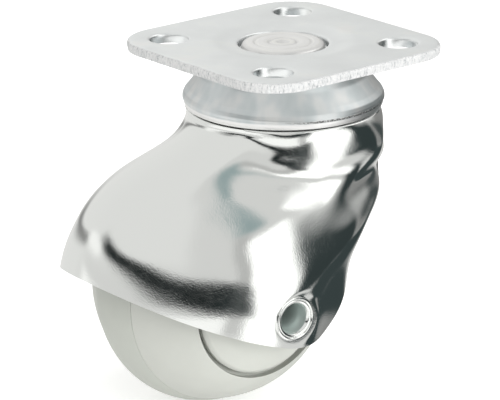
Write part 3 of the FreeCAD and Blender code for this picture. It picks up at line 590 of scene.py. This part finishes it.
def table(tab, x):
    """Smooth curve through (level, value) pairs with falling levels, without overshoot."""
    X = np.array([t[0] for t in tab], float)
    Y = np.array([t[1] for t in tab], float)
    d = np.diff(Y) / np.diff(X)
    m = np.zeros(len(X))
    m[0], m[-1] = d[0], d[-1]
    for i in range(1, len(d)):
        m[i] = 0 if d[i - 1] * d[i] <= 0 else 2 * d[i - 1] * d[i] / (d[i - 1] + d[i])
    xc = np.clip(np.asarray(x, float), X[-1], X[0])
    i = np.clip(np.searchsorted(-X, -xc, side="right") - 1, 0, len(X) - 2)
    w = X[i + 1] - X[i]
    u = (xc - X[i]) / w
    return (2 * u ** 3 - 3 * u * u + 1) * Y[i] + (u ** 3 - 2 * u * u + u) * w * m[i] + (-2 * u ** 3 + 3 * u * u) * Y[i + 1] + (u ** 3 - u * u) * w * m[i + 1]


def cubic_basis(x, marks):
    """Values at x of the cubic B-spline functions over rising marks, clamped at both ends."""
    k = np.concatenate([[marks[0]] * 3, marks, [marks[-1]] * 3])
    x = np.clip(np.asarray(x, float), marks[0] + 1e-9, marks[-1] - 1e-9)
    b = [((x >= k[i]) & (x < k[i + 1])).astype(float) for i in range(len(k) - 1)]
    for p in (1, 2, 3):
        n = []
        for i in range(len(b) - 1):
            v = np.zeros_like(x)
            if k[i + p] > k[i]:
                v = v + (x - k[i]) / (k[i + p] - k[i]) * b[i]
            if k[i + p + 1] > k[i + 1]:
                v = v + (k[i + p + 1] - x) / (k[i + p + 1] - k[i + 1]) * b[i + 1]
            n.append(v)
        b = n
    return np.stack(b, -1)


POLES = np.array(NET[::-1], float) / 100.0
RISING = np.array(HEIGHTS[::-1], float)
MARKS = np.radians(np.array(BEARINGS, float))


def net_radius(z, phi):
    shape = np.shape(z)
    bz, bp = cubic_basis(np.ravel(z), RISING), cubic_basis(np.ravel(phi), MARKS)
    return np.einsum("nk,kl,nl->n", bz, POLES, bp, optimize=True).reshape(shape)


def step(v):
    v = np.clip(v, 0, 1)
    return v * v * (3 - 2 * v)


def hood_point(z, phi):
    """Point of the hood's outside at a height and a bearing; the far side mirrors the near one."""
    z, phi = np.broadcast_arrays(np.asarray(z, float), np.asarray(phi, float))
    deg = np.mod(np.degrees(phi) + 256.0, 360.0) - 256.0
    near = net_radius(z, np.radians(np.clip(deg, -235, 29)))
    far = net_radius(z, np.radians(np.where(deg > -90, -deg, -360.0 - deg)))
    w = np.where(deg > -90, step((deg - 5) / 20), step((-210 - deg) / 20))
    r = near * (1 - w) + far * w
    # under the ring the trailing side leans in like a cone
    lean = step((deg + 215) / 20) * (1 - step((deg + 128) / 22)) + step((deg - 128) / 22) * (1 - step((deg - 195) / 20))
    lean = np.where((deg > 90) | (deg < -90), lean, 0)
    r = r - lean * 0.17 * np.clip(z + 12.15, 0, 1.0)
    x, y = table(CENTRE, z) + r * np.cos(phi), r * np.sin(phi)
    # flat seat for the axle's flange on either cheek
    dx, dz = x + TRAIL - SHIFT[0], z + DROP - SHIFT[1]
    near_axle = 1 - step((np.hypot(dx - 1.5, dz + 0.8) - 3.5) / 1.9)
    y = y + np.where(np.abs(y) > 18, near_axle, 0) * (np.sign(y) * (SEAT - 0.04 * dx + 0.06 * dz) - y)
    return np.stack([x, y, z], -1)


def rim_level(x):
    u = x + TRAIL
    return -RIM["low"] - RIM["slope"] * u + np.where(u < 0, RIM["rear"], RIM["front"]) * u * u


CAP = rounded([(5.6, -8.3), (13.9, -8.3, 2.2), (14.2, -10.95, 0.5), (16.0, -10.93, 0.15), (16.26, -11.03)], 6)
COLS, ROWS = 336, 170


def columns():
    phi = np.linspace(-math.pi, math.pi, COLS, endpoint=False)
    zb = np.full(COLS, -42.0)
    for _ in range(60):
        zb = 0.5 * zb + 0.5 * rim_level(hood_point(zb, phi)[:, 0])
    u = np.linspace(0, 1, ROWS)
    Z = -11.2 + (zb[None, :] + 11.2) * (u * (0.6 + 0.4 * u))[:, None]
    G = hood_point(Z, np.repeat(phi[None, :], ROWS, 0))
    cap = np.stack([CAP[:, 0][:, None] * np.cos(phi), CAP[:, 0][:, None] * np.sin(phi), np.repeat(CAP[:, 1][:, None], COLS, 1)], -1)
    return np.concatenate([cap, G])


def grid_normals(G):
    up = np.roll(G, 1, 0)
    up[0] = G[0]
    dn = np.roll(G, -1, 0)
    dn[-1] = G[-1]
    n = np.cross(np.roll(G, -1, 1) - np.roll(G, 1, 1), dn - up)
    n /= np.maximum(np.linalg.norm(n, axis=-1, keepdims=True), 1e-12)
    ref = np.stack([G[..., 0] + 8.0, G[..., 1], np.maximum(G[..., 2], -30.0) + 30.0], -1)
    s = np.sign((n * ref).sum(-1, keepdims=True))
    return n * np.where(s == 0, 1, s)


outer = columns()
inner = outer - grid_normals(outer) * 1.1
rows_all = outer.shape[0]
hv = np.concatenate([outer.reshape(-1, 3), inner.reshape(-1, 3)])
hf = []
off = rows_all * COLS
for i in range(rows_all - 1):
    for j in range(COLS):
        k = (j + 1) % COLS
        hf.append((i * COLS + j, (i + 1) * COLS + j, (i + 1) * COLS + k, i * COLS + k))
        if i % 2 == 0 and i + 2 < rows_all:
            hf.append((off + i * COLS + k, off + (i + 2) * COLS + k, off + (i + 2) * COLS + j, off + i * COLS + j))
        elif i % 2 == 0:
            hf.append((off + i * COLS + k, off + (i + 1) * COLS + k, off + (i + 1) * COLS + j, off + i * COLS + j))
for j in range(COLS):
    k = (j + 1) % COLS
    hf.append(((rows_all - 1) * COLS + j, off + (rows_all - 1) * COLS + j, off + (rows_all - 1) * COLS + k, (rows_all - 1) * COLS + k))
    hf.append((k, off + k, off + j, j))
# round holes for the rivet in both cheeks, under its flanges
hole = np.array([-TRAIL + 0.8 * SHIFT[0], -DROP + 0.8 * SHIFT[1]])
away = hv[:, [0, 2]] - hole
reach = np.where(np.abs(hv[:, 1]) > 18, np.hypot(away[:, 0], away[:, 1]), 99.0)
kept = [q for q in hf if reach[list(q)].mean() > 3.15]
cut = [q for q in hf if reach[list(q)].mean() <= 3.15]
edge = np.array(sorted({i for q in cut for i in q} & {i for q in kept for i in q}))
hv[edge[:, None], [0, 2]] = hole + away[edge] / reach[edge][:, None] * 3.2
hood = add_mesh("hood_skin", to_row(hv), kept, "fork", ("hood",), sharp=55)
bm = bmesh.new()
bm.from_mesh(hood.data)
for sign in (-1, 1):
    # wall of the hole, from the outer skin to the inner one
    open_edges = [e for e in bm.edges if e.is_boundary and sign * sum(v.co.y for v in e.verts) > 0]
    bmesh.ops.bridge_loops(bm, edges=open_edges)
bmesh.ops.recalc_face_normals(bm, faces=bm.faces)
bm.to_mesh(hood.data)
bm.free()
hood.data.polygons.foreach_set("use_smooth", [True] * len(hood.data.polygons))
hood.data.set_sharp_from_angle(angle=math.radians(55))
hood.data.materials.append(CHROME)

# ---------------------------------------------------------------- hollow rivet
rng = np.random.default_rng(11)
wobble_edge = noise_1d(rng, 160, [1, 2, 3, 5, 7], 0.02)


def rivet_wobble(R, H, T):
    far = np.abs(H) > 22.55
    R = R + np.where(far & (R > 3.05), wobble_edge[:, None], 0)
    return R, H


def bore_painted_shade_material():
    """Inside of the hollow rivet, with painted shade: light at its mouth, and a base colour that darkens further in,
    standing in for the shade inside the bore.
    """
    m, t, sh = material("rivet_bore")
    c = coords(t)
    sh.inputs["Metallic"].default_value = 0.4
    sep = t.nodes.new("ShaderNodeSeparateXYZ")
    t.links.new(c, sep.inputs[0])
    depth = t.nodes.new("ShaderNodeMath")
    depth.operation = "ABSOLUTE"
    t.links.new(sep.outputs["Y"], depth.inputs[0])
    # painted shade: the base colour darkens with depth into the bore
    t.links.new(ramp(t, map_range(t, depth.outputs[0], 14.0, 23.0, 0.0, 1.0), [
        (0.0, grey(0.3, (0.9, 1.0, 0.96))), (0.35, grey(0.5, (0.88, 1.0, 0.96))), (0.65, grey(0.58, (0.86, 1.0, 0.95))), (0.93, grey(0.66, (0.94, 1.0, 0.98))), (1.0, grey(0.85))]), sh.inputs["Base Color"])
    t.links.new(map_range(t, noise(t, c, 1.2, 3.0, 0.6), 0.3, 0.7, 0.28, 0.36), sh.inputs["Roughness"])
    t.links.new(bump(t, noise(t, c, 0.35, 1.0, 0.5), 1.0, 2e-5), sh.inputs["Normal"])
    return m


def crevice_painted_shadow_material():
    """The flange's wall down in the joint, painted dark as the shadow that falls in the gap between flange and hood."""
    m, t, sh = material("rivet_crevice_painted_shadow")
    c = coords(t)
    sh.inputs["Metallic"].default_value = 1.0
    # painted shadow: a dark base colour on the flange's outer wall in the joint
    t.links.new(ramp(t, noise(t, c, 1.5, 3.0, 0.6), [(0.35, grey(0.14, (0.92, 1.0, 0.98))), (0.65, grey(0.3, (0.92, 1.0, 0.98)))]), sh.inputs["Base Color"])
    t.links.new(map_range(t, noise(t, c, 3.0, 3.0, 0.6), 0.3, 0.7, 0.3, 0.45), sh.inputs["Roughness"])
    return m


half_rivet = [(2.42, -20.4), (2.42, -21.2), (2.42, -21.9), (2.46, -22.5, 0.35), (2.72, -22.93, 0.3), (3.06, -23.0, 0.14), (3.18, -22.92, 0.06), (3.42, -23.1, 0.16), (3.74, -22.95, 0.2), (3.84, -22.62, 0.15),
              (3.76, -22.3, 0.1), (3.3, -22.3), (3.3, -22.0), (2.85, -22.0), (2.85, -21.2), (2.85, -20.4)]
rivet_line = rounded(half_rivet + [(p[0], -p[1]) + p[2:] for p in half_rivet[::-1]], 8)
rivet = turned("rivet_skin", rivet_line, "fork", "y", 160, ("axle_rivet",), sharp=75, wobble=rivet_wobble)
rivet.data.materials.append(CHROME)
rivet.data.materials.append(bore_painted_shade_material())
rivet.data.materials.append(crevice_painted_shadow_material())
for v in rivet.data.vertices:
    out = abs((np.array(v.co) / MM - to_row([-TRAIL, 0.0, -DROP])) @ to_row([0.0, 1.0, 0.0]))
    k = float(step((out - 20.5) / 1.4))
    v.co = v.co + Vector((to_row([SHIFT[0], 0.0, SHIFT[1]]) * k * MM).tolist())
# material 1 is the bore with its painted shade; material 2 is the flange's outer wall in the joint, painted dark as
# shadow
turns_of = len(rivet_line)
for poly in rivet.data.polygons:
    a, b = rivet_line[poly.index % turns_of], rivet_line[(poly.index + 1) % turns_of]
    if max(a[0], b[0]) < 2.5:
        poly.material_index = 1
    elif min(a[0], b[0]) > 3.2 and max(abs(a[1]), abs(b[1])) < 22.86:
        poly.material_index = 2

# ---------------------------------------------------------------- wheel
core_line = rounded([
    (3.66, -20.75), (4.9, -20.75, 0.3), (5.2, -17.4, 0.3), (6.2, -17.0, 0.3), (6.2, -2.2, 0.5), (11.2, -2.2, 0.5), (11.2, -13.1, 0.3), (11.8, -13.1, 0.2), (12.96, -13.7, 0.2),
    (13.0, -14.95, 0.12)], 3)
arc = []
for k in range(41):
    t = -15.0 + 0.06 + (15.0 - 0.06 - 5.31) * k / 40
    s = abs(t)
    arc.append((float(np.interp(s, [5.26, 6, 7.5, 9, 10.5, 12, 13.5, 15], [19.56, 19.3, 18.7, 18.0, 17.1, 16.0, 14.65, 13.0])), t))
arc = np.array(arc)
sm = np.poly1d(np.polyfit(arc[:, 1], arc[:, 0], 4))
arc[:, 0] = sm(arc[:, 1])
half_line = np.concatenate([core_line, arc, [(19.5, -5.26), (16.2, -5.26)]])
mirror_line = half_line[::-1] * np.array([1, -1])
core = turned("wheel_skin", np.concatenate([half_line, mirror_line]), "wheel", "y", 192, ("wheel_core",), sharp=35)
core.data.materials.append(PLASTIC)

u = np.linspace(-5.2, 5.2, 41)
crown = 19.6 + (21.0 - 19.6) * (1 - (np.abs(u) / 5.24) ** 2)
seam = 0.035 * np.exp(-((u - 0.3) / 0.12) ** 2)
tyre_line = np.concatenate([[(16.22, -5.24)], [(19.52, -5.24)], np.stack([crown + 0 * seam, u], -1), [(19.52, 5.24)], [(16.22, 5.24)]])
tyre = turned("band_skin", tyre_line, "wheel", "y", 224, ("tyre",), sharp=35)
tyre.data.materials.append(RUBBER)

for side, node in ((-1, "hub_cap_left"), (1, "hub_cap_right")):
    line = rounded([(6.25, 13.15), (11.65, 13.15, 0.3), (12.15, 13.8, 0.2), (12.15, 14.7, 0.15), (11.6, 15.3, 0.6), (9.0, 16.4, 6.0), (6.25, 16.9)], 6) * np.array([1, side])
    cap = turned("flank_disc_left" if side < 0 else "flank_disc_right", line, "wheel", "y", 160, (node,), sharp=40)
    cap.data.materials.append(PLASTIC)

for name in ("kingpin_sleeve", "upper_balls", "lower_balls", "axle_sleeve"):
    nodes[name].data.materials.clear()
    nodes[name].data.materials.append(STEEL)
nodes["lower_race"].data.materials.clear()
nodes["lower_race"].data.materials.append(ZINC_PIN)

# ---------------------------------------------------------------- floor
fm = bpy.data.meshes.new("floor")
s = 3.0
fm.from_pydata([(-s, -s, FLOOR * MM), (s, -s, FLOOR * MM), (s, s, FLOOR * MM), (-s, s, FLOOR * MM)], [], [(0, 1, 2, 3)])
floor = bpy.data.objects.new("floor", fm)
bpy.context.scene.collection.objects.link(floor)
m, t, sh = material("floor_pale")
sh.inputs["Base Color"].default_value = (0.9, 0.9, 0.9, 1.0)
sh.inputs["Roughness"].default_value = 0.9
sh.inputs["Specular IOR Level"].default_value = 0.1
sh.inputs["Emission Color"].default_value = (1.0, 1.0, 1.0, 1.0)
sh.inputs["Emission Strength"].default_value = 0.42
floor.data.materials.append(m)
floor.visible_glossy = False

# ---------------------------------------------------------------- studio: soft panels and dark gaps round the object
# Directions are a turn to the right of the bearing towards the viewer's side, and a height above the horizon, in degrees.
BEARING = math.atan2(-410.13, -346.96)
world = bpy.data.worlds.new("studio")
bpy.context.scene.world = world
world.use_nodes = True
wt = world.node_tree
wt.nodes.clear()
wout = wt.nodes.new("ShaderNodeOutputWorld")
bg = wt.nodes.new("ShaderNodeBackground")
wt.links.new(bg.outputs[0], wout.inputs["Surface"])
wtc = wt.nodes.new("ShaderNodeTexCoord")


def dot(vec):
    n = wt.nodes.new("ShaderNodeVectorMath")
    n.operation = "DOT_PRODUCT"
    n.inputs[1].default_value = vec
    wt.links.new(wtc.outputs["Generated"], n.inputs[0])
    return n.outputs["Value"]


def wmath(op, a, b=None, c=None):
    n = wt.nodes.new("ShaderNodeMath")
    n.operation = op
    for i, v in enumerate((a, b, c)):
        if v is None:
            continue
        if isinstance(v, (int, float)):
            n.inputs[i].default_value = v
        else:
            wt.links.new(v, n.inputs[i])
    return n.outputs[0]


toward = (math.cos(BEARING), math.sin(BEARING), 0.0)
right = (-toward[1], toward[0], 0.0)
turn = wmath("MULTIPLY", wmath("ARCTAN2", dot(right), dot(toward)), 180 / math.pi)
rise = wmath("MULTIPLY", wmath("ARCSINE", wmath("MAXIMUM", wmath("MINIMUM", dot((0, 0, 1)), 1.0), -1.0)), 180 / math.pi)


def smooth_step(v, lo, hi):
    n = wt.nodes.new("ShaderNodeMapRange")
    n.interpolation_type = "SMOOTHSTEP"
    n.inputs["From Min"].default_value = lo
    n.inputs["From Max"].default_value = hi
    wt.links.new(v, n.inputs["Value"])
    return n.outputs["Result"]


def window(v, lo, hi, soft_lo, soft_hi):
    return wmath("MULTIPLY", smooth_step(v, lo - soft_lo, lo + soft_lo), wmath("SUBTRACT", 1.0, smooth_step(v, hi - soft_hi, hi + soft_hi)))


def srgb(g, gain=1.0):
    c = g / 255.0
    return (c / 12.92 if c <= 0.04045 else ((c + 0.055) / 1.055) ** 2.4) * gain


# turn from, to, softness at either end; rise from, to, softness at either end; climb per degree of turn, and from where; grey, gain, amount, tint
PANELS = [
    # left part of the ceiling a little lighter than the right part
    (-400, -3, 5, 5, 15, 100, 15, 5, 0, 0, 222, 1.0, 0.9, 0),
    (-400, -100, 5, 15, -40, 30, 10, 20, 0, 0, 224, 1.0, 0.9, 0),
    # pale streak and glow far left
    (-165, -104, 10, 8, 0.5, 8.5, 3.5, 3.5, 0.42, -140, 122, 1.0, 0.9, 0),
    # lighter ground below the long gap
    (-95, 36, 10, 6, -70, -12, 8, 3, -0.2, 0, 253, 1.0, 0.95, 0),
    (-108, -76, 7, 7, 18, 31, 5, 5, 0, 0, 248, 1.0, 0.9, 0),
    # long dark gap
    (-84, 36, 14, 5, -6.5, 6.5, 4.0, 4.0, -0.42, 0, 32, 1.0, 1.0, 1),
    # soft grey patch overhead
    (24, 50, 8, 8, 54, 84, 8, 8, 0, 0, 150, 1.0, 0.9, 1),
    # darker edge line of the large white panel
    (22, 34, 3, 3, -40, 55, 8, 8, 0, 0, 172, 1.0, 0.75, 0),
    # right hand dark part
    (66, 113, 8, 7, -27, 21, 4, 12, 0, 0, 56, 1.0, 1.0, 1),
    (100, 156, 6, 8, -60, -17, 3, 4, 0, 0, 62, 1.0, 1.0, 1),
    (112, 172, 6, 6, -17, 12, 4, 6, 0, 0, 120, 1.0, 0.9, 0),
    (118, 160, 6, 6, -8, 8, 5, 5, -0.75, 128, 62, 1.0, 0.9, 1),
    # upper right white panel
    (84, 132, 4, 6, 29, 60, 3, 5, 0, 0, 255, 1.25, 1.0, 0),
    # the large white panel, and the dark gap across its lower left corner
    (33.5, 70, 3, 6, -60, 41, 6, 6, 0, 0, 255, 1.25, 1.0, 0),
    (15, 38, 8, 3.5, -6, 5.0, 3, 3, -0.42, 0, 46, 1.0, 0.9, 1),
]
CEILING = 209
GAIN = 1.07
TINTS = ((1.0, 0.998, 0.975), (0.8, 1.06, 1.07))
sky = None
for t0, t1, s0, s1, r0, r1, q0, q1, climb, start, grey_level, gain, amount, tint in PANELS:
    level = rise if climb == 0 else wmath("SUBTRACT", rise, wmath("MULTIPLY", wmath("SUBTRACT", turn, start), climb))
    mask = wmath("MULTIPLY", wmath("MULTIPLY", window(turn, t0, t1, s0, s1), window(level, r0, r1, q0, q1)), amount)
    blend = wt.nodes.new("ShaderNodeMix")
    blend.data_type = "RGBA"
    wt.links.new(mask, blend.inputs["Factor"])
    if sky is None:
        blend.inputs["A"].default_value = tuple(srgb(CEILING) * GAIN * t for t in TINTS[0]) + (1.0,)
    else:
        wt.links.new(sky, blend.inputs["A"])
    blend.inputs["B"].default_value = tuple(srgb(grey_level, gain) * GAIN * t for t in TINTS[tint]) + (1.0,)
    sky = blend.outputs["Result"]
wt.links.new(sky, bg.inputs["Color"])
bg.inputs["Strength"].default_value = 1.0


def area(name, direction, distance, size, power, glossy=False):
    """Square soft light that looks at the object from a (turn, rise) direction."""
    a, r = math.radians(direction[0]), math.radians(direction[1])
    d = (Vector(toward) * math.cos(a) + Vector(right) * math.sin(a)) * math.cos(r) + Vector((0, 0, 1)) * math.sin(r)
    data = bpy.data.lights.new(name, "AREA")
    data.shape = "SQUARE"
    data.size = size
    data.energy = power
    o = bpy.data.objects.new(name, data)
    bpy.context.scene.collection.objects.link(o)
    o.location = Vector((-0.01, 0, -0.03)) + d * distance
    o.rotation_mode = "QUATERNION"
    o.rotation_quaternion = (-d).to_track_quat("-Z", "Y")
    o.visible_glossy = glossy
    return o


area("top_soft", (20, 75), 1.6, 1.6, 12.0)
area("front_soft", (50, 4), 1.5, 1.2, 16.5)

# ---------------------------------------------------------------- camera
cam = bpy.data.cameras.new("camera")
camera = bpy.data.objects.new("camera", cam)
bpy.context.scene.collection.objects.link(camera)
side = Vector((0.768971, -0.6392551, -0.0060435))
over = Vector((0.2032723, 0.2355351, 0.9503702))
back = Vector((-0.6061056, -0.7320356, 0.3110625))
rot = Matrix((side, over, back)).transposed().to_4x4()
camera.matrix_world = Matrix.Translation(Vector((-346.9555, -410.1262, 147.9553)) * MM) @ rot
cam.sensor_width = 36.0
cam.lens = 3353.5618 * 36.0 / 500.0
cam.clip_start, cam.clip_end = 0.01, 100.0
bpy.context.scene.camera = camera
bpy.context.scene.view_settings.view_transform = "Standard"
